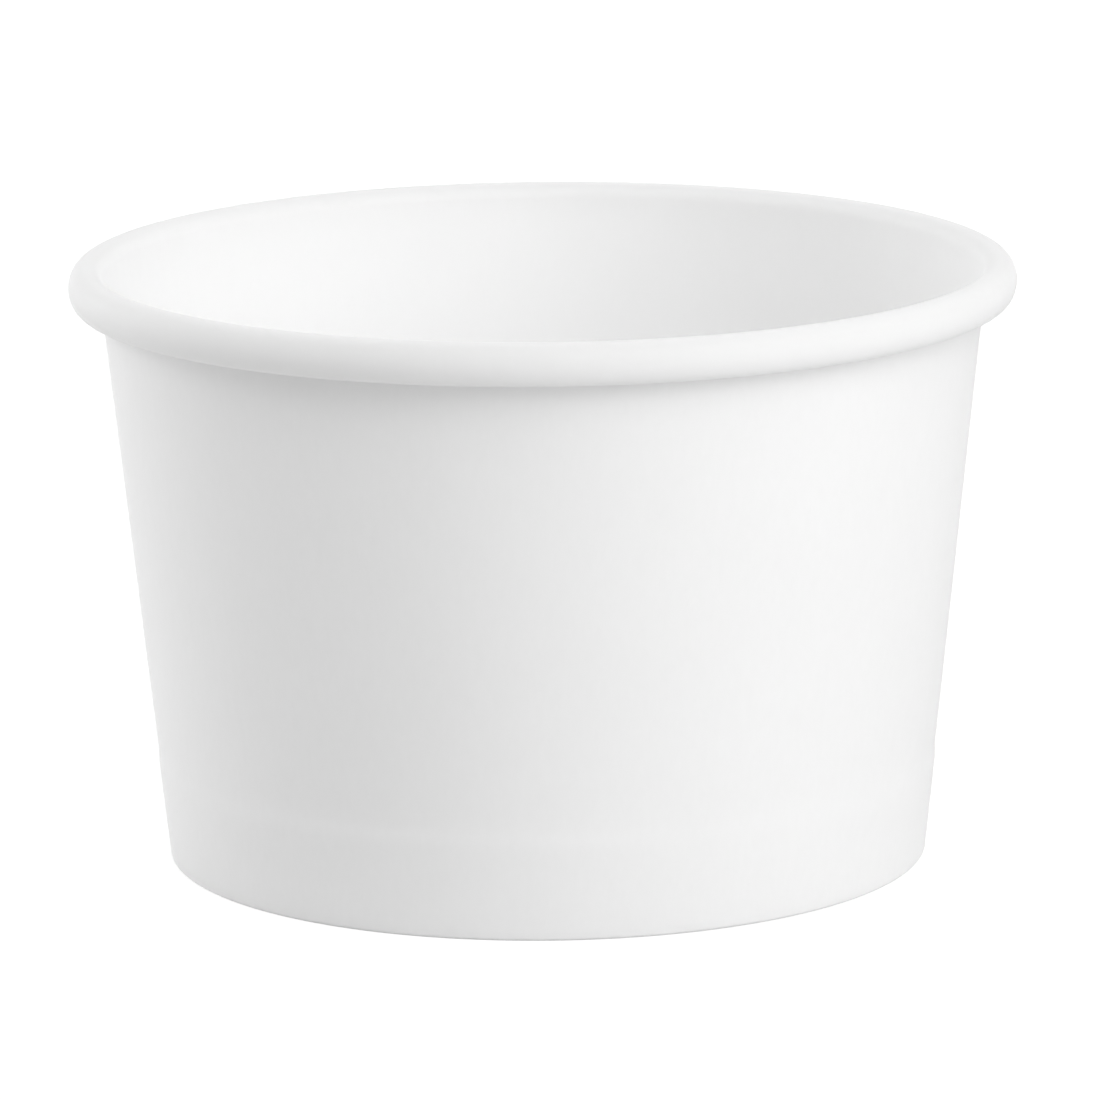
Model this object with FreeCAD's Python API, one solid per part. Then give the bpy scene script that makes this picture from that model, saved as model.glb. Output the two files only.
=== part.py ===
import FreeCAD, Part
import math
import os

# A paper sundae cup: a rolled and glued side wall with a curled rim and a folded foot, and a bottom
# disc whose skirt the foot grips. Millimetres, +Z up, the cup's axis on Z and its foot on Z = 0.

# Board and glue
wall_board = 0.40            # thickness of the coated board of the side wall
bottom_board = 0.34          # thickness of the coated board of the bottom disc
glue_line = 0.03             # film between pressed layers

# Overall sizes
rim_outer_diameter = 96.0    # over the rolled rim, where a lid presses on
cup_height = 61.2            # from the foot to the top of the rim
foot_outer_diameter = 77.3   # outside of the wall, carried down to the standing plane

# Rolled rim: the sheet curls outward, down and back up inside itself
rim_top_radius = 1.66        # outside bend over the top of the rim
rim_side_radius = 2.70       # flatter bend of the rim's outer side
rim_side_half_angle = 30.0   # degrees of flatter bend above and below the widest point
curl_gap = 0.08              # air between the wall and the layer tucked against it
tuck_end_angle = 130.0       # degrees above level at which the tucked layer ends

# Folded foot
flap_height = 8.0            # from the standing plane to the cut edge of the folded-in flap
foot_swell = 0.15            # how far the gripped layers push the wall out below the bottom
foot_swell_run = 2.4         # length of wall over which that swelling fades

# Bottom disc
bottom_height = 9.3          # from the standing plane to the floor of the cup
skirt_inside_bend = 0.30     # inside radius where the disc turns down into its skirt
skirt_edge_clearance = 0.25  # from the skirt's cut edge to the fold below it

# Glued side seam
seam_azimuth = 34.4          # degrees from +X to the inner layer's cut edge
seam_lap = 6.5               # width over which the two layers overlap
seam_ramp = 2.6              # width over which the outer layer climbs onto the inner one
seam_crush = 0.10            # how much the pressed lap is thinner than two layers
seam_groove = 0.22           # width of the furrow left beside the inner layer's cut edge
seam_groove_depth = 0.14
rim_seam_rise = 0.18         # how far the doubled board pushes the rolled rim out at the seam
ramp_root = 0.06             # how deep the thin end of a ramp is sunk in the sheet it fades into

# Sizes that follow
rim_radius = rim_outer_diameter / 2
foot_radius = foot_outer_diameter / 2
side_turn = math.radians(rim_side_half_angle)
curl_x = rim_radius - rim_side_radius - (rim_top_radius - rim_side_radius) * math.cos(side_turn)
curl_z = cup_height - rim_top_radius
grip = 2 * wall_board + bottom_board + 2 * glue_line
lap_rise = wall_board - seam_crush


def wall_lean():
    """Angle from upright at which the wall above the swollen foot runs tangent into the curl."""
    run = curl_x - foot_radius
    reach = math.hypot(run, curl_z)
    return math.acos((rim_top_radius - wall_board - foot_swell) / reach) - math.atan2(curl_z, run)


lean = wall_lean()
along = FreeCAD.Vector(math.sin(lean), 0, math.cos(lean))
outward = FreeCAD.Vector(math.cos(lean), 0, -math.sin(lean))
lean_degrees = math.degrees(lean)


def polar(centre, radius, degrees):
    """Point of the section plane at an angle above level from a centre."""
    turn = math.radians(degrees)
    return centre + FreeCAD.Vector(radius * math.cos(turn), 0, radius * math.sin(turn))


def arc(centre, radius, start, end):
    """Arc edge of the section plane, between two angles above level."""
    middle = polar(centre, radius, (start + end) / 2)
    return Part.Arc(polar(centre, radius, start), middle, polar(centre, radius, end)).toShape()


def line(start, end):
    return Part.makeLine(start, end)


def section(edges):
    """Face of the section plane inside a closed run of edges."""
    return Part.Face(Part.Wire(Part.__sortEdges__(edges)))


def turned(face, degrees=360.0):
    """Solid that a section sweeps round the cup's axis, from the section plane on."""
    return face.revolve(FreeCAD.Vector(0, 0, 0), FreeCAD.Vector(0, 0, 1), degrees)


def at_azimuth(shape, degrees):
    placed = shape.copy()
    placed.rotate(FreeCAD.Vector(0, 0, 0), FreeCAD.Vector(0, 0, 1), degrees)
    return placed


# Outside of the wall, from which every layer is offset


def foot_side(offset, height):
    """Point at a height on the swollen lower wall, offset outward from its outside."""
    radius = foot_radius + (offset + height * math.sin(lean)) / math.cos(lean)
    return FreeCAD.Vector(radius, 0, height)


def upper_side(offset, height):
    """Point at a height on the wall above the swelling, offset outward from its outside."""
    return foot_side(offset - foot_swell, height)


def wall_run(offset, start, end):
    """Edges up one face of the wall: lower cone, the two easy bends of the swelling, upper cone."""
    bend = 2 * math.atan2(foot_swell, foot_swell_run)
    radius = foot_swell_run / (2 * math.sin(bend))
    turn = math.degrees(bend)
    first = foot_side(0, bottom_height) - outward * radius
    second = first + outward * (2 * radius * math.cos(bend)) + along * (2 * radius * math.sin(bend))
    level = -lean_degrees
    lower_bend = arc(first, radius + offset, level, level + turn)
    upper_bend = arc(second, radius - offset, level + 180 + turn, level + 180)
    return [
        line(start, polar(first, radius + offset, level)),
        lower_bend,
        upper_bend,
        line(polar(second, radius - offset, level + 180), end),
    ]


# Rolled rim


def curl_centres():
    """Centres of the rim's top, side and bottom bends, and the radius of the bottom bend."""
    above = FreeCAD.Vector(math.cos(side_turn), 0, math.sin(side_turn))
    below = FreeCAD.Vector(math.cos(side_turn), 0, -math.sin(side_turn))
    top = FreeCAD.Vector(curl_x, 0, curl_z)
    side = top + above * (rim_top_radius - rim_side_radius)
    room = rim_top_radius - wall_board - curl_gap
    room += (rim_top_radius - rim_side_radius) * outward.dot(above) + rim_side_radius * outward.dot(below)
    bottom_radius = room / (1 + outward.dot(below))
    bottom = side + below * (rim_side_radius - bottom_radius)
    return top, side, bottom, bottom_radius


curl_top, curl_side, curl_bottom, rim_bottom_radius = curl_centres()
rim_bottom = curl_bottom.z - rim_bottom_radius
curl_start = 180 - lean_degrees
tuck_radius = rim_top_radius - wall_board - curl_gap


def curl_run(depth):
    """Edges of the curl at a depth under the sheet's outer face, from the wall to the tucked end."""
    rise_start = polar(curl_bottom, rim_bottom_radius - depth, curl_start)
    rise_end = polar(curl_top, tuck_radius - depth, curl_start)
    return [
        arc(curl_top, rim_top_radius - depth, curl_start, rim_side_half_angle),
        arc(curl_side, rim_side_radius - depth, rim_side_half_angle, -rim_side_half_angle),
        arc(curl_bottom, rim_bottom_radius - depth, -rim_side_half_angle, curl_start - 360),
        line(rise_start, rise_end),
        arc(curl_top, tuck_radius - depth, curl_start, tuck_end_angle),
    ]


# Folded foot: creased hard, so that its inside corners are sharp and its outside bends round them

crease_outer = foot_side(-wall_board, wall_board)
crease_inner = foot_side(wall_board - grip, wall_board)


def foot_outside():
    """Edges of the foot's outside, from the wall round the standing ring to the flap's end."""
    flap_start = polar(crease_inner, wall_board, -180 - lean_degrees)
    return [
        arc(crease_outer, wall_board, -lean_degrees, -90),
        line(polar(crease_outer, wall_board, -90), polar(crease_inner, wall_board, -90)),
        arc(crease_inner, wall_board, -90, -180 - lean_degrees),
        line(flap_start, foot_side(-grip, flap_height)),
    ]


def foot_inside():
    """Edges of the slot that the skirt stands in, from the wall to the flap's end."""
    return [
        line(crease_outer, crease_inner),
        line(crease_inner, foot_side(wall_board - grip, flap_height)),
    ]


def sheet_section():
    """The one sheet cut through: foot, wall and curled rim."""
    foot_end = polar(crease_outer, wall_board, -lean_degrees)
    rim_end = polar(curl_top, rim_top_radius - wall_board, curl_start)
    wall_outside = wall_run(0, foot_end, rim_end)
    wall_inside = wall_run(-wall_board, crease_outer, polar(curl_top, rim_top_radius, curl_start))
    tuck_outside = polar(curl_top, tuck_radius, tuck_end_angle)
    tuck_inside = polar(curl_top, tuck_radius - wall_board, tuck_end_angle)
    curl_edge = line(tuck_outside, tuck_inside)
    flap_edge = line(foot_side(-grip, flap_height), foot_side(wall_board - grip, flap_height))
    edges = wall_outside + wall_inside + curl_run(0) + curl_run(wall_board)
    edges += foot_outside() + foot_inside() + [curl_edge, flap_edge]
    return section(edges)


# Glued side seam


def lap_section(rise):
    """Outer layer of the lap on the wall, rooted in mid-sheet and eased out towards the foot."""
    root = -wall_board / 2
    top = rim_bottom + lap_rise
    low = wall_board + 2 * lap_rise
    outer = wall_run(rise, foot_side(rise, low), upper_side(rise, top))
    inner = wall_run(root, foot_side(root, wall_board), upper_side(root, top))
    ends = [
        line(foot_side(rise, low), foot_side(root, wall_board)),
        line(upper_side(rise, top), upper_side(root, top)),
    ]
    return Part.Wire(Part.__sortEdges__(outer + inner + ends))


def flap_lap_section(rise):
    """The same outer layer where it turns up inside the foot, on the flap."""
    root = wall_board / 2 - grip
    face = -grip - rise
    low = 2 * wall_board
    corners = [
        foot_side(root, wall_board),
        foot_side(root, flap_height - lap_rise),
        foot_side(face, flap_height - lap_rise),
        foot_side(face, low),
    ]
    return Part.makePolygon(corners + corners[:1])


def rim_lap_section(rise):
    """Swelling of the rolled rim over the doubled board, greatest at the rim's widest point."""
    shift = FreeCAD.Vector(rise, 0, 0)
    root = wall_board / 2
    outer = [
        arc(curl_top + shift, rim_top_radius, 90, rim_side_half_angle),
        arc(curl_side + shift, rim_side_radius, rim_side_half_angle, -rim_side_half_angle),
        arc(curl_bottom + shift, rim_bottom_radius, -rim_side_half_angle, -90),
    ]
    inner = [
        arc(curl_top, rim_top_radius - root, 90, rim_side_half_angle),
        arc(curl_side, rim_side_radius - root, rim_side_half_angle, -rim_side_half_angle),
        arc(curl_bottom, rim_bottom_radius - root, -rim_side_half_angle, -90),
    ]
    ends = [
        line(polar(curl_top + shift, rim_top_radius, 90), polar(curl_top, rim_top_radius - root, 90)),
        line(
            polar(curl_bottom + shift, rim_bottom_radius, -90),
            polar(curl_bottom, rim_bottom_radius - root, -90),
        ),
    ]
    return Part.Wire(Part.__sortEdges__(outer + inner + ends))


def lap_with_ramp(profile, rise, radius):
    """A lap of constant height from the seam edge on, and the ramp that fades out before it."""
    lap_turn = math.degrees(seam_lap / radius)
    ramp_turn = math.degrees(seam_ramp / radius)
    lap = at_azimuth(turned(Part.Face(profile(rise)), lap_turn), seam_azimuth)
    high = at_azimuth(profile(rise), seam_azimuth)
    low = at_azimuth(profile(-ramp_root), seam_azimuth - ramp_turn)
    ramp = Part.makeLoft([low, high], True, True)
    return [lap, ramp]


def seam_furrow():
    """Narrow furrow beside the inner layer's cut edge, up the inside of the wall."""
    foot_end = upper_side(-wall_board, bottom_height + 2 * foot_swell_run)
    rim_end = polar(curl_top, rim_top_radius, curl_start)
    half = FreeCAD.Vector(0, seam_groove / 2, 0)
    mouth = outward * -seam_groove_depth
    corners = [
        foot_end + mouth - half * 2,
        foot_end + mouth + half * 2,
        foot_end + outward * seam_groove_depth,
    ]
    furrow = Part.Face(Part.makePolygon(corners + corners[:1])).extrude(rim_end - foot_end)
    return at_azimuth(furrow, seam_azimuth)


def side_wall():
    """The rolled sheet with its lap, its furrow and its swellings, as one solid."""
    sheet = turned(sheet_section())
    mean_radius = (rim_radius + foot_radius) / 2
    laps = lap_with_ramp(lap_section, lap_rise, mean_radius)
    laps += lap_with_ramp(flap_lap_section, lap_rise, mean_radius)
    laps += lap_with_ramp(rim_lap_section, rim_seam_rise, mean_radius)
    return sheet.multiFuse(laps).cut(seam_furrow())


# Bottom disc


def bottom_disc():
    """The flat floor of the cup with its edge turned down as a skirt."""
    bend = bottom_board + skirt_inside_bend
    outside = -wall_board - glue_line
    inside = outside - bottom_board
    corner = foot_side(outside - bend, bottom_height - bend)
    skirt_bottom = wall_board + skirt_edge_clearance
    top_axis = FreeCAD.Vector(0, 0, bottom_height)
    under_axis = FreeCAD.Vector(0, 0, bottom_height - bottom_board)
    edges = [
        line(top_axis, polar(corner, bend, 90)),
        arc(corner, bend, 90, -lean_degrees),
        line(polar(corner, bend, -lean_degrees), foot_side(outside, skirt_bottom)),
        line(foot_side(outside, skirt_bottom), foot_side(inside, skirt_bottom)),
        line(foot_side(inside, skirt_bottom), polar(corner, skirt_inside_bend, -lean_degrees)),
        arc(corner, skirt_inside_bend, -lean_degrees, 90),
        line(polar(corner, skirt_inside_bend, 90), under_axis),
        line(under_axis, top_axis),
    ]
    return turned(section(edges))


os.makedirs("parts", exist_ok=True)
side_wall().exportStep("parts/side_wall.step")
bottom_disc().exportStep("parts/bottom_disc.step")
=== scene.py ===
import bpy
import math
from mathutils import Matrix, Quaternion, Vector, noise


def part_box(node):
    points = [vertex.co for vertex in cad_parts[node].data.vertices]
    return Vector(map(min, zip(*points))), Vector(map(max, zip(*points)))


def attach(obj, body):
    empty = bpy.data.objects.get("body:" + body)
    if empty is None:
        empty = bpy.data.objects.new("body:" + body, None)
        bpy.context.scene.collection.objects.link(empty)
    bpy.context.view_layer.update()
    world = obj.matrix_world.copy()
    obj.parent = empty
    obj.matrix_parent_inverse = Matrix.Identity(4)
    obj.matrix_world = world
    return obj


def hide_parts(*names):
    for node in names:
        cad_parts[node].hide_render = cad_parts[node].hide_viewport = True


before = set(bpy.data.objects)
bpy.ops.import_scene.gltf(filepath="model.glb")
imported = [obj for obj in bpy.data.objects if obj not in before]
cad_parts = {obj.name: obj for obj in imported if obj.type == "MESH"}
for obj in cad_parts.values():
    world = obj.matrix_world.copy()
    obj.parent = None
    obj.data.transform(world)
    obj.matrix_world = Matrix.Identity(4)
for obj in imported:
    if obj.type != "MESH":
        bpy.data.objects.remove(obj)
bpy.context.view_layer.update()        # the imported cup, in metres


# Side wall
# One fan-shaped blank of coated cup board, rolled to a cone and glued along a lap at the back. Its top
# edge is curled outward and down into the rim, its bottom edge is folded in and up to make the foot.
# The coated face lines the cup and comes out over the rim, and the plain face is the outside.
wall_low, wall_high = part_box("side_wall")
rim_radius = min(wall_high.x, wall_high.y, -wall_low.x, -wall_low.y)
cup_height = wall_high.z
foot_radius = 0.03865            # outside of the wall, carried down to the standing plane
board = 0.00040                  # thickness of the wall's board
bottom_board = 0.00034
glue_line = 0.00003
rim_top_bend = 0.00166           # outside bend over the top of the rim
rim_side_bend = 0.00270          # flatter bend of the rim's outer side
rim_side_half_angle = 30.0       # degrees of flatter bend above and below the widest point
curl_gap = 0.00008               # air between the wall and the layer tucked against it
tuck_end = 130.0                 # degrees above level where the tucked layer ends
flap_height = 0.0080             # from the standing plane to the flap's cut edge
floor_height = 0.0093            # top of the bottom disc
foot_swell = 0.00015             # how far the gripped layers push the wall out
foot_swell_run = 0.0024
grip = 2 * board + bottom_board + 2 * glue_line

side_turn = math.radians(rim_side_half_angle)
curl_x = rim_radius - rim_side_bend + (rim_side_bend - rim_top_bend) * math.cos(side_turn)
curl_top = Vector((curl_x, cup_height - rim_top_bend))
reach = math.hypot(curl_top.x - foot_radius, curl_top.y)
lean = math.acos((rim_top_bend - board - foot_swell) / reach)
lean -= math.atan2(curl_top.y, curl_top.x - foot_radius)
along = Vector((math.sin(lean), math.cos(lean)))
outward = Vector((math.cos(lean), -math.sin(lean)))
lean_degrees = math.degrees(lean)
curl_start = 180 - lean_degrees

above = Vector((math.cos(side_turn), math.sin(side_turn)))
below = Vector((math.cos(side_turn), -math.sin(side_turn)))
curl_side = curl_top - above * (rim_side_bend - rim_top_bend)
room = rim_top_bend - board - curl_gap - (rim_side_bend - rim_top_bend) * outward.dot(above)
rim_bottom_bend = (room + rim_side_bend * outward.dot(below)) / (1 + outward.dot(below))
curl_bottom = curl_side + below * (rim_side_bend - rim_bottom_bend)
rim_bottom = curl_bottom.y - rim_bottom_bend
tuck_bend = rim_top_bend - board - curl_gap


def polar(centre, radius, degrees):
    turn = math.radians(degrees)
    return centre + Vector((radius * math.cos(turn), radius * math.sin(turn)))


def bend(centre, radius, start, end, steps):
    """Points of a section along a round stretch, without its last one."""
    return [polar(centre, radius, start + (end - start) * k / steps) for k in range(steps)]


def straight(start, end, steps):
    return [start.lerp(end, k / steps) for k in range(steps)]


def foot_side(offset, height):
    """Point on the lower wall, offset outward from its outside."""
    return Vector((foot_radius + (offset + height * math.sin(lean)) / math.cos(lean), height))


def curl(depth):
    """The curl at a depth under the coated face, from the tucked edge to where the wall begins."""
    half = rim_side_half_angle
    points = bend(curl_top, tuck_bend - depth, tuck_end, curl_start, steps=4)
    points += bend(curl_bottom, rim_bottom_bend - depth, curl_start - 360, -half, steps=16)
    points += bend(curl_side, rim_side_bend - depth, -half, half, steps=10)
    return points + bend(curl_top, rim_top_bend - depth, half, curl_start, steps=18)


def wall(offset, top, bottom):
    """One face of the wall from the rim down, drawn in a little above the gripped layers."""
    turn = 2 * math.atan2(foot_swell, foot_swell_run)
    radius = foot_swell_run / (2 * math.sin(turn))
    degrees = math.degrees(turn)
    first = foot_side(0, floor_height) - outward * radius
    second = first + outward * (2 * radius * math.cos(turn)) + along * (2 * radius * math.sin(turn))
    points = straight(top, polar(second, radius - offset, curl_start), steps=30)
    points += bend(second, radius - offset, curl_start, curl_start + degrees, steps=4)
    points += bend(first, radius + offset, -lean_degrees + degrees, -lean_degrees, steps=4)
    return points + straight(polar(first, radius + offset, -lean_degrees), bottom, steps=8)


crease_outer = foot_side(-board, board)
crease_inner = foot_side(board - grip, board)
coated_face = curl(0) + wall(-board, polar(curl_top, rim_top_bend, curl_start), crease_outer)
coated_face += [crease_outer, crease_inner, foot_side(board - grip, flap_height)]
plain_face = curl(board) + wall(0, polar(curl_top, rim_top_bend - board, curl_start), foot_side(0, board))
plain_face += bend(crease_outer, board, -lean_degrees, -90, steps=4)
plain_face += bend(crease_inner, board, -90, -180 - lean_degrees, steps=5)
curl_points = len(curl(0))
flap_start = len(plain_face)
flap_end = foot_side(-grip, flap_height)
plain_face += straight(polar(crease_inner, board, -180 - lean_degrees), flap_end, steps=6)
plain_face += [flap_end]

# Where the blank's edges overlap, the outer layer climbs onto the inner one and ends in a cut edge at
# the back. Inside, the inner layer's cut edge leaves a faint furrow up the wall and over the rim.
seam_azimuth = 34.4              # degrees from +X to the inner layer's cut edge
seam_radius = 0.0433             # mean radius that the seam's widths are measured on
lap_width = 0.0065
ramp_width = 0.0026              # over which the outer layer climbs onto the inner one
furrow_half_width = 0.00020
seam_lap = math.degrees(lap_width / seam_radius)
seam_ramp = math.degrees(ramp_width / seam_radius)
furrow_half = math.degrees(furrow_half_width / seam_radius)
lap_rise = 0.00030
furrow_depth = 0.00003
rim_seam_rise = 0.00016
cut_lean = 0.02                  # degrees of wall that the cut edge's face leans over

# The pressed board goes slowly in and out by a hair, more slowly up the wall than round it, and is true
# again at the foot and under the rim.
wall_unevenness = 0.00005
rim_unevenness = 0.00005
unevenness_size = 0.022
upright_share = 0.7
true_foot = 0.004                # height up to which the foot is true
true_foot_run = 0.02
true_rim_run = 0.004

# The closing tool presses upright grooves all round the foot's flap.
knurl_pitch = 3.0                # degrees between two grooves
knurl_half = 0.5                 # degrees from a groove's middle to its side
knurl_depth = 0.00014
knurl_bottom = 0.0012
knurl_top = 0.0072
knurl_run_out = 0.0006


def ease(value):
    value = min(max(value, 0), 1)
    return value * value * (3 - 2 * value)


def lap_height(turn):
    """Share of the lap's rise by degrees past the inner edge, up to the outer layer's cut edge."""
    return ease((turn + seam_ramp) / seam_ramp) if turn <= seam_lap else 0.0


def rim_lap(turn):
    """The same over the rim, where the curled top layer hides the step."""
    return ease((turn + seam_ramp) / seam_ramp) * ease((seam_lap + seam_ramp / 2 - turn) / seam_ramp)


def furrow(turn):
    return max(0.0, 1 - abs(turn) / furrow_half)


def knurl(turn, height):
    """Depth of the grooves at a place on the flap."""
    band = ease((height - knurl_bottom) / knurl_run_out) * ease((knurl_top - height) / knurl_run_out)
    from_groove = abs(turn - knurl_pitch * round(turn / knurl_pitch))
    return knurl_depth * band * max(0.0, 1 - from_groove / knurl_half)


def unevenness(radius, azimuth, height):
    place = Vector((radius * math.cos(azimuth), radius * math.sin(azimuth), height * upright_share))
    return noise.noise(place / unevenness_size)


def normals(points):
    """Unit normals of a run of section points, to the left of the way it goes."""
    found = []
    for k in range(len(points)):
        way = (points[min(k + 1, len(points) - 1)] - points[max(k - 1, 0)]).normalized()
        found.append(Vector((-way.y, way.x)))
    return found


def lap_share(point):
    """How much of the lap shows at a point of the plain face: it fades at the standing ring and rim."""
    foot = ease((point.y - board) / (3 * board))
    return foot * ease((rim_bottom + board - point.y) / (2 * board))


# The sheet is drawn in upright columns: close together over the seam, and elsewhere three to a groove.
fine_start = -5                  # degrees from the inner layer's cut edge
fine_end = 14
fine_step = 0.5
least_step = 0.05
edges = [-furrow_half, 0.0, furrow_half, seam_lap, seam_lap + cut_lean]
fine = [fine_start + fine_step * k for k in range(round((fine_end - fine_start) / fine_step))]
fine = [turn for turn in fine if min(abs(turn - edge) for edge in edges) > least_step]
half_turn = round(180 / knurl_pitch)
sides = (-knurl_half, 0, knurl_half)
grooves = [knurl_pitch * k + side for k in range(-half_turn, half_turn) for side in sides]
turns = sorted([turn for turn in grooves if not fine_start <= turn < fine_end] + fine + edges)
coated_normals = normals(coated_face)
plain_normals = normals(plain_face)
wall_points = []
for turn in turns:
    azimuth = math.radians(seam_azimuth + turn)
    column = []
    for k, point in enumerate(coated_face):
        column.append((k, point, coated_normals[k] * (furrow_depth * furrow(turn))))
    for k in reversed(range(len(plain_face))):
        point = plain_face[k]
        shift = Vector((0, 0))
        if k >= curl_points:
            shift = plain_normals[k] * (lap_rise * lap_height(turn) * lap_share(point))
        if k >= flap_start:
            shift -= plain_normals[k] * knurl(turn, point.y)
        column.append((k, point, shift))
    for k, point, shift in column:
        wave = unevenness(point.x, azimuth, point.y)
        sway = wall_unevenness * wave * ease((point.y - true_foot) / true_foot_run)
        sway *= ease((rim_bottom - point.y) / true_rim_run)
        if k < curl_points:
            facing = min(max(0.0, (point.x - curl_top.x) / rim_top_bend), 1.0)
            sway += facing * (rim_seam_rise * rim_lap(turn) - rim_unevenness * (0.5 + 0.5 * wave))
        radius = point.x + shift.x + sway
        wall_points.append((radius * math.cos(azimuth), radius * math.sin(azimuth), point.y + shift.y))

ring = len(coated_face) + len(plain_face)
wall_faces = []
wall_finishes = []
for j in range(len(turns)):
    here = j * ring
    following = (j + 1) % len(turns) * ring
    for k in range(ring):
        after = (k + 1) % ring
        wall_faces.append((here + k, following + k, following + after, here + after))
        cut = k == len(coated_face) - 1 or k == ring - 1 or turns[j] == seam_lap
        wall_finishes.append(0 if k < len(coated_face) - 1 else 2 if cut else 1)

sharp_angle = math.radians(35)   # faces that turn more than this against each other keep a crisp edge
wall_mesh = bpy.data.meshes.new("rolled_wall")
wall_mesh.from_pydata(wall_points, [], wall_faces)
wall_mesh.shade_smooth()
wall_mesh.set_sharp_from_angle(angle=sharp_angle)
rolled_wall = bpy.data.objects.new("rolled_wall", wall_mesh)
bpy.context.scene.collection.objects.link(rolled_wall)


rim_shade_start = 0.0442          # radius where painted shade starts to darken the lining's white towards the rim
rim_shade_end = 0.0454
mottle_share = 0.8               # of the mottle in the relief, beside the fibres
board_shine = 0.12


def board_grain_and_rim_shade():
    """Node group: the board's fibres and cloudy thickness, as tone, roughness and height, and a painted
    shade that darkens the white over the rim, where the rim's top catches the most light."""
    group = bpy.data.node_groups.new("board_grain_and_rim_shade", "ShaderNodeTree")
    group.interface.new_socket("Base Color", in_out="INPUT", socket_type="NodeSocketColor")
    group.interface.new_socket("Rim Shade Color", in_out="INPUT", socket_type="NodeSocketColor")
    group.interface.new_socket("Fibre Stretch", in_out="INPUT", socket_type="NodeSocketVector")
    for name in ("Fibre Tone", "Cloud Tone", "Roughness", "Roughness Change"):
        group.interface.new_socket(name, in_out="INPUT", socket_type="NodeSocketFloat")
    group.interface.new_socket("Color", in_out="OUTPUT", socket_type="NodeSocketColor")
    group.interface.new_socket("Roughness", in_out="OUTPUT", socket_type="NodeSocketFloat")
    group.interface.new_socket("Height", in_out="OUTPUT", socket_type="NodeSocketFloat")
    nodes = group.nodes
    links = group.links
    entry = nodes.new("NodeGroupInput")
    result = nodes.new("NodeGroupOutput")
    place = nodes.new("ShaderNodeTexCoord")
    stretch = nodes.new("ShaderNodeVectorMath")
    stretch.operation = "MULTIPLY"
    links.new(place.outputs["Object"], stretch.inputs[0])
    links.new(entry.outputs["Fibre Stretch"], stretch.inputs[1])

    def layer(source, size, detail, rough):
        """Noise around 0, from -1 to 1, whose lumps have about this size in metres."""
        texture = nodes.new("ShaderNodeTexNoise")
        texture.inputs["Scale"].default_value = 1 / size
        texture.inputs["Detail"].default_value = detail
        texture.inputs["Roughness"].default_value = rough
        links.new(source, texture.inputs["Vector"])
        centred = nodes.new("ShaderNodeMath")
        centred.operation = "MULTIPLY_ADD"
        centred.inputs[1].default_value = 2.0
        centred.inputs[2].default_value = -1.0
        links.new(texture.outputs[0], centred.inputs[0])
        return centred.outputs[0]

    def blended(first, amount, rest):
        """Socket of first times amount plus rest, where each may be a socket or a number."""
        sum_node = nodes.new("ShaderNodeMath")
        sum_node.operation = "MULTIPLY_ADD"
        for value, socket in zip((first, amount, rest), sum_node.inputs):
            if isinstance(value, float):
                socket.default_value = value
            else:
                links.new(value, socket)
        return sum_node.outputs[0]

    level = nodes.new("ShaderNodeVectorMath")
    level.operation = "MULTIPLY"
    level.inputs[1].default_value = (1, 1, 0)
    links.new(place.outputs["Object"], level.inputs[0])
    radius = nodes.new("ShaderNodeVectorMath")
    radius.operation = "LENGTH"
    links.new(level.outputs[0], radius.inputs[0])
    # Painted shade: the white is darkened by radius over the rim.
    rim_shade_share = nodes.new("ShaderNodeMapRange")
    rim_shade_share.interpolation_type = "SMOOTHSTEP"
    rim_shade_share.inputs["From Min"].default_value = rim_shade_start
    rim_shade_share.inputs["From Max"].default_value = rim_shade_end
    links.new(radius.outputs["Value"], rim_shade_share.inputs["Value"])
    white = nodes.new("ShaderNodeMix")
    white.data_type = "RGBA"
    links.new(rim_shade_share.outputs[0], white.inputs[0])
    links.new(entry.outputs["Base Color"], white.inputs[6])
    links.new(entry.outputs["Rim Shade Color"], white.inputs[7])
    fibres = layer(stretch.outputs[0], size=0.0007, detail=4.0, rough=0.65)
    mottle = layer(stretch.outputs[0], size=0.0030, detail=2.0, rough=0.5)
    clouds = layer(place.outputs["Object"], size=0.0110, detail=2.0, rough=0.5)
    tone = blended(clouds, entry.outputs["Cloud Tone"], 1.0)
    tone = blended(fibres, entry.outputs["Fibre Tone"], tone)
    toned = nodes.new("ShaderNodeVectorMath")
    toned.operation = "SCALE"
    links.new(white.outputs[2], toned.inputs[0])
    links.new(tone, toned.inputs["Scale"])
    links.new(toned.outputs[0], result.inputs["Color"])
    roughness = blended(mottle, entry.outputs["Roughness Change"], entry.outputs["Roughness"])
    links.new(roughness, result.inputs["Roughness"])
    links.new(blended(mottle, mottle_share, fibres), result.inputs["Height"])
    return group


grain_and_rim_shade = board_grain_and_rim_shade()


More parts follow.
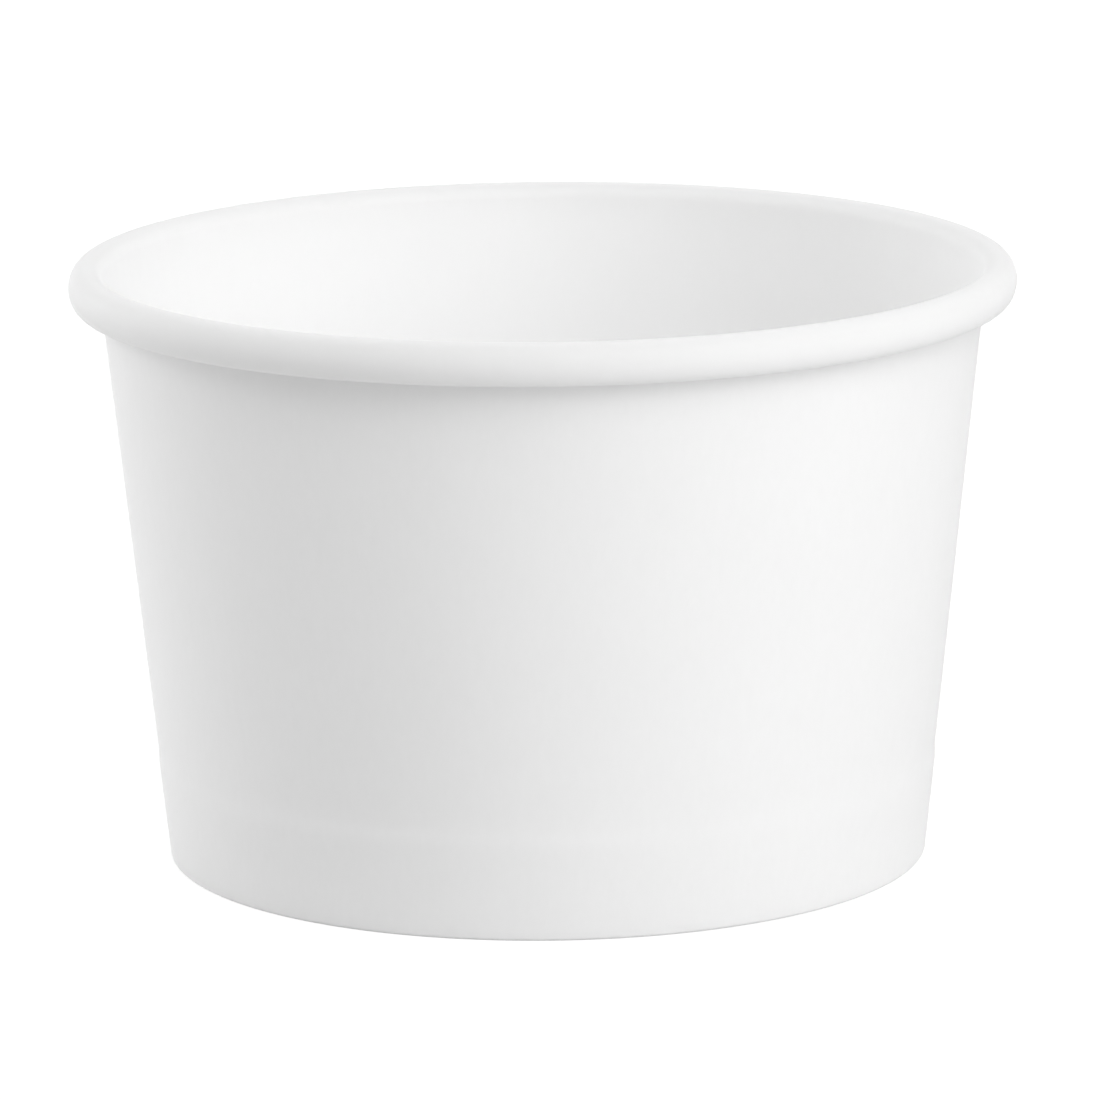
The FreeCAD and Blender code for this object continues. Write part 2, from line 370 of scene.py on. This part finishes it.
def board_finish(name, colour, rim_shade_colour, stretch, fibre, cloud, roughness, change, relief):
    """Material of one face of a board, whose fibres stand up by relief, in metres, with painted rim shade.
    """
    finish = bpy.data.materials.new(name)
    finish.use_nodes = True
    nodes = finish.node_tree.nodes
    links = finish.node_tree.links
    shader = nodes["Principled BSDF"]
    shader.inputs["Specular IOR Level"].default_value = board_shine
    fibres = nodes.new("ShaderNodeGroup")
    fibres.node_tree = grain_and_rim_shade
    fibres.inputs["Base Color"].default_value = (*colour, 1)
    fibres.inputs["Rim Shade Color"].default_value = (*rim_shade_colour, 1)
    fibres.inputs["Fibre Stretch"].default_value = stretch
    fibres.inputs["Fibre Tone"].default_value = fibre
    fibres.inputs["Cloud Tone"].default_value = cloud
    fibres.inputs["Roughness"].default_value = roughness
    fibres.inputs["Roughness Change"].default_value = change
    relief_bump = nodes.new("ShaderNodeBump")
    relief_bump.inputs["Distance"].default_value = relief
    links.new(fibres.outputs["Color"], shader.inputs["Base Color"])
    links.new(fibres.outputs["Roughness"], shader.inputs["Roughness"])
    links.new(fibres.outputs["Height"], relief_bump.inputs["Height"])
    links.new(relief_bump.outputs["Normal"], shader.inputs["Normal"])
    return finish


upright_fibres = (1.0, 1.0, 0.35)
cut_fibres = (1.0, 1.0, 0.15)
# Partly painted light: this is the coating's own white, raised further to brighten the cup's shaded
# inside.
lining_white_and_painted_light = (0.925, 0.925, 0.925)
# Painted shade: the lining's white, darkened over the rim, where its top faces the lamps.
rim_painted_shade_white = (0.832, 0.832, 0.832)
wall_white = (0.86, 0.86, 0.86)
cut_white = (0.80, 0.785, 0.75)
cut_finish = {"fibre": 0.060, "cloud": 0.020, "roughness": 0.90, "change": 0.05, "relief": 0.0000200}
wall_mesh.materials.append(board_finish(
    "wall_coated_face", lining_white_and_painted_light, rim_painted_shade_white, upright_fibres,
    fibre=0.006, cloud=0.005, roughness=0.55, change=0.04, relief=0.0000020))
wall_mesh.materials.append(board_finish(
    "wall_plain_face", wall_white, wall_white, upright_fibres,
    fibre=0.016, cloud=0.006, roughness=0.70, change=0.06, relief=0.0000045))
wall_mesh.materials.append(board_finish("wall_cut_edge", cut_white, cut_white, cut_fibres, **cut_finish))
wall_mesh.polygons.foreach_set("material_index", wall_finishes)
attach(rolled_wall, "root")
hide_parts("side_wall")


# Bottom disc
# A round blank of thinner coated board, pressed into the wall with its edge turned down as a skirt.
# The skirt is glued and gripped between the wall and the folded flap, and the disc sags very slightly.
skirt_inside_bend = 0.00030      # inside radius where the disc turns down into its skirt
skirt_edge_clearance = 0.00025
disc_sag = 0.00012               # at the middle of the disc
die_ring_radius = 0.0345         # where the pressing die's edge leaves a faint step
die_ring_width = 0.0010
die_ring_step = 0.00018
die_ring_steps = 6
die_ring_room = 0.0008           # kept free of other points on either side of the step's middle
disc_steps = 44
disc_columns = 180
skirt_outside = -board - glue_line
skirt_bend = bottom_board + skirt_inside_bend
skirt_corner = foot_side(skirt_outside - skirt_bend, floor_height - skirt_bend)
skirt_bottom = board + skirt_edge_clearance


def bottom_side(depth, bend_radius, skirt_end):
    """One face of the bottom, at a depth under its top: out from near the middle and down the skirt."""
    ring_middle = die_ring_radius - die_ring_width / 2
    radii = [skirt_corner.x * k / disc_steps for k in range(1, disc_steps + 1)]
    radii = [radius for radius in radii if abs(radius - ring_middle) > die_ring_room]
    radii += [die_ring_radius - die_ring_width * k / die_ring_steps for k in range(die_ring_steps + 1)]
    points = []
    for radius in sorted(radii):
        height = floor_height - depth - disc_sag * (1 - (radius / skirt_corner.x) ** 2)
        height -= die_ring_step * ease((die_ring_radius - radius) / die_ring_width)
        points.append(Vector((radius, height)))
    points += bend(skirt_corner, bend_radius, 90, -lean_degrees, steps=6)[1:]
    points += straight(polar(skirt_corner, bend_radius, -lean_degrees), skirt_end, steps=4)
    return points + [skirt_end]


top_face = bottom_side(0, skirt_bend, foot_side(skirt_outside, skirt_bottom))
skirt_inside = foot_side(skirt_outside - bottom_board, skirt_bottom)
under_face = bottom_side(bottom_board, skirt_inside_bend, skirt_inside)
disc_section = top_face + under_face[::-1]

disc_points = []
for j in range(disc_columns):
    azimuth = math.tau * j / disc_columns
    for point in disc_section:
        disc_points.append((point.x * math.cos(azimuth), point.x * math.sin(azimuth), point.y))
top_middle = len(disc_points)
disc_points.append((0, 0, top_face[0].y))
disc_points.append((0, 0, under_face[0].y))
disc_faces = []
disc_finishes = []
span = len(disc_section)
for j in range(disc_columns):
    here = j * span
    following = (j + 1) % disc_columns * span
    for k in range(span - 1):
        disc_faces.append((here + k, here + k + 1, following + k + 1, following + k))
        disc_finishes.append(0 if k < len(top_face) - 1 else 2 if k == len(top_face) - 1 else 1)
    disc_faces.append((top_middle, here, following))
    disc_faces.append((top_middle + 1, following + span - 1, here + span - 1))
    disc_finishes += [0, 1]

disc_mesh = bpy.data.meshes.new("pressed_bottom")
disc_mesh.from_pydata(disc_points, [], disc_faces)
disc_mesh.shade_smooth()
disc_mesh.set_sharp_from_angle(angle=sharp_angle)
pressed_bottom = bpy.data.objects.new("pressed_bottom", disc_mesh)
bpy.context.scene.collection.objects.link(pressed_bottom)

flat_fibres = (0.35, 1.0, 1.0)
disc_white = (0.85, 0.85, 0.85)
disc_mesh.materials.append(board_finish(
    "bottom_coated_face", lining_white_and_painted_light, lining_white_and_painted_light, flat_fibres,
    fibre=0.006, cloud=0.006, roughness=0.55, change=0.04, relief=0.0000020))
disc_mesh.materials.append(board_finish(
    "bottom_plain_face", disc_white, disc_white, flat_fibres,
    fibre=0.016, cloud=0.010, roughness=0.72, change=0.06, relief=0.0000045))
disc_mesh.materials.append(board_finish("bottom_cut_edge", cut_white, cut_white, cut_fibres, **cut_finish))
disc_mesh.polygons.foreach_set("material_index", disc_finishes)
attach(pressed_bottom, "root")
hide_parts("bottom_disc")


# Floor
# A plain white studio floor, fully white beyond the cup's shadow. A round opening under the cup, which the
# cup covers, lets light reach its underside, and from below the floor is clear, so that the foot shows.
floor_reach = 6.0
opening_radius = 0.03825
opening_steps = 180
shadow_reach = 0.30              # radius up to which the seen floor keeps its shadow
white_reach = 0.80               # radius from which the seen floor is fully white
floor_glow_near = 0.85
floor_glow_far = 1.0
shadow_grey = (0.22, 0.22, 0.22, 1)
lit_white = (0.80, 0.80, 0.80, 1)    # what the floor throws back at the cup
floor_points = []
for radius in (opening_radius, floor_reach):
    for k in range(opening_steps):
        azimuth = math.tau * k / opening_steps
        floor_points.append((radius * math.cos(azimuth), radius * math.sin(azimuth), 0))
floor_faces = []
for k in range(opening_steps):
    after = (k + 1) % opening_steps
    floor_faces.append((k, opening_steps + k, opening_steps + after, after))
floor_mesh = bpy.data.meshes.new("studio_floor")
floor_mesh.from_pydata(floor_points, [], floor_faces)
studio_floor = bpy.data.objects.new("studio_floor", floor_mesh)
bpy.context.scene.collection.objects.link(studio_floor)


def seen_ray(nodes, links):
    """Socket that is 1 where the camera looks, straight, by a shine or through glass, and otherwise 0."""
    ray = nodes.new("ShaderNodeLightPath")
    sharp = nodes.new("ShaderNodeMath")
    seen = nodes.new("ShaderNodeMath")
    seen.use_clamp = True
    links.new(ray.outputs["Is Glossy Ray"], sharp.inputs[0])
    links.new(ray.outputs["Is Transmission Ray"], sharp.inputs[1])
    links.new(ray.outputs["Is Camera Ray"], seen.inputs[0])
    links.new(sharp.outputs[0], seen.inputs[1])
    return seen.outputs[0]


floor_paint = bpy.data.materials.new("floor_paint")
floor_paint.use_nodes = True
floor_nodes = floor_paint.node_tree.nodes
floor_links = floor_paint.node_tree.links
floor_nodes.clear()
floor_place = floor_nodes.new("ShaderNodeTexCoord")
floor_radius = floor_nodes.new("ShaderNodeVectorMath")
floor_radius.operation = "LENGTH"
floor_strength = floor_nodes.new("ShaderNodeMapRange")
floor_strength.inputs["From Min"].default_value = shadow_reach
floor_strength.inputs["From Max"].default_value = white_reach
floor_strength.inputs["To Min"].default_value = floor_glow_near
floor_strength.inputs["To Max"].default_value = floor_glow_far
floor_glow = floor_nodes.new("ShaderNodeEmission")
floor_shade = floor_nodes.new("ShaderNodeBsdfDiffuse")
floor_shade.inputs["Color"].default_value = shadow_grey
seen_floor = floor_nodes.new("ShaderNodeAddShader")
lit_floor = floor_nodes.new("ShaderNodeBsdfDiffuse")
lit_floor.inputs["Color"].default_value = lit_white
clear_floor = floor_nodes.new("ShaderNodeBsdfTransparent")
geometry = floor_nodes.new("ShaderNodeNewGeometry")
by_ray = floor_nodes.new("ShaderNodeMixShader")
by_side = floor_nodes.new("ShaderNodeMixShader")
floor_out = floor_nodes.new("ShaderNodeOutputMaterial")
floor_links.new(floor_place.outputs["Object"], floor_radius.inputs[0])
floor_links.new(floor_radius.outputs["Value"], floor_strength.inputs["Value"])
floor_links.new(floor_strength.outputs[0], floor_glow.inputs["Strength"])
floor_links.new(floor_glow.outputs[0], seen_floor.inputs[0])
floor_links.new(floor_shade.outputs[0], seen_floor.inputs[1])
floor_links.new(seen_ray(floor_nodes, floor_links), by_ray.inputs[0])
floor_links.new(lit_floor.outputs[0], by_ray.inputs[1])
floor_links.new(seen_floor.outputs[0], by_ray.inputs[2])
floor_links.new(geometry.outputs["Backfacing"], by_side.inputs[0])
floor_links.new(by_ray.outputs[0], by_side.inputs[1])
floor_links.new(clear_floor.outputs[0], by_side.inputs[2])
floor_links.new(by_side.outputs[0], floor_out.inputs["Surface"])
floor_mesh.materials.append(floor_paint)


# Camera
# It looks down on the cup at the photograph's angle and from the photograph's distance, turned a little
# so that the cup stands as level as it does there.
camera_distance = 0.8334
camera_elevation = math.radians(12.20)
camera_roll = math.radians(-0.565)
middle_height = 0.030
aim = Vector((0.00049, 0.0, 0.03097))
camera_data = bpy.data.cameras.new("camera")
camera_data.sensor_width = 36.0
camera_data.lens = 267.48
camera = bpy.data.objects.new("camera", camera_data)
bpy.context.scene.collection.objects.link(camera)
camera.location = Vector((
    0.0,
    -camera_distance * math.cos(camera_elevation),
    middle_height + camera_distance * math.sin(camera_elevation),
))
camera.rotation_mode = "QUATERNION"
level_view = (aim - camera.location).to_track_quat("-Z", "Y")
camera.rotation_quaternion = level_view @ Quaternion((0, 0, 1), camera_roll)
bpy.context.scene.camera = camera


# Studio light
# Large soft lamps stand round the cup: the strong ones at the right front and low at the left behind, and
# only a weak one at the left front, so that the shading is deepest there, as in the photograph. Three more
# shine up through the floor's opening into the foot.
lamp_distance = 1.2
# Name, azimuth and elevation in degrees, side of the square in metres, and power in watts.
lamps = [
    ("right_front_lamp", 30, 28, 0.9, 3.1),
    ("high_front_lamp", 30, 48, 0.9, 4.9),
    ("low_right_lamp", 60, 8, 0.9, 4.4),
    ("right_lamp", 60, 28, 0.9, 2.8),
    ("high_right_back_lamp", 150, 48, 0.9, 3.8),
    ("high_back_lamp", 180, 48, 0.9, 1.6),
    ("low_left_back_lamp", -120, 8, 0.9, 8.9),
    ("high_left_lamp", -90, 48, 0.9, 4.0),
    ("left_front_lamp", -60, 28, 0.9, 1.9),
    ("underside_lamp", 0, -90, 0.6, 5.0),
    ("low_underside_lamp", 110, -40, 0.6, 7.0),
    ("far_underside_lamp", -50, -40, 0.6, 5.0),
]
room_light = 0.01
for name, azimuth, elevation, size, power in lamps:
    lamp_data = bpy.data.lights.new(name, "AREA")
    lamp_data.shape = "SQUARE"
    lamp_data.size = size
    lamp_data.energy = power
    lamp = bpy.data.objects.new(name, lamp_data)
    bpy.context.scene.collection.objects.link(lamp)
    lamp.visible_camera = False
    turn = math.radians(azimuth)
    rise = math.radians(elevation)
    way = Vector((math.sin(turn) * math.cos(rise), -math.cos(turn) * math.cos(rise), math.sin(rise)))
    lamp.location = way * lamp_distance + Vector((0, 0, middle_height))
    lamp.rotation_mode = "QUATERNION"
    lamp.rotation_quaternion = (-way).to_track_quat("-Z", "Y")

studio = bpy.data.worlds.new("studio")
bpy.context.scene.world = studio
studio.use_nodes = True
studio_nodes = studio.node_tree.nodes
studio_links = studio.node_tree.links
studio_nodes.clear()
seen_backdrop = studio_nodes.new("ShaderNodeBackground")
seen_backdrop.inputs["Color"].default_value = (1, 1, 1, 1)
seen_backdrop.inputs["Strength"].default_value = 1.0
soft_fill = studio_nodes.new("ShaderNodeBackground")
soft_fill.inputs["Color"].default_value = (1, 1, 1, 1)
soft_fill.inputs["Strength"].default_value = room_light
studio_mix = studio_nodes.new("ShaderNodeMixShader")
studio_out = studio_nodes.new("ShaderNodeOutputWorld")
studio_links.new(seen_ray(studio_nodes, studio_links), studio_mix.inputs[0])
studio_links.new(soft_fill.outputs[0], studio_mix.inputs[1])
studio_links.new(seen_backdrop.outputs[0], studio_mix.inputs[2])
studio_links.new(studio_mix.outputs[0], studio_out.inputs["Surface"])

bpy.context.scene.view_settings.view_transform = "Standard"
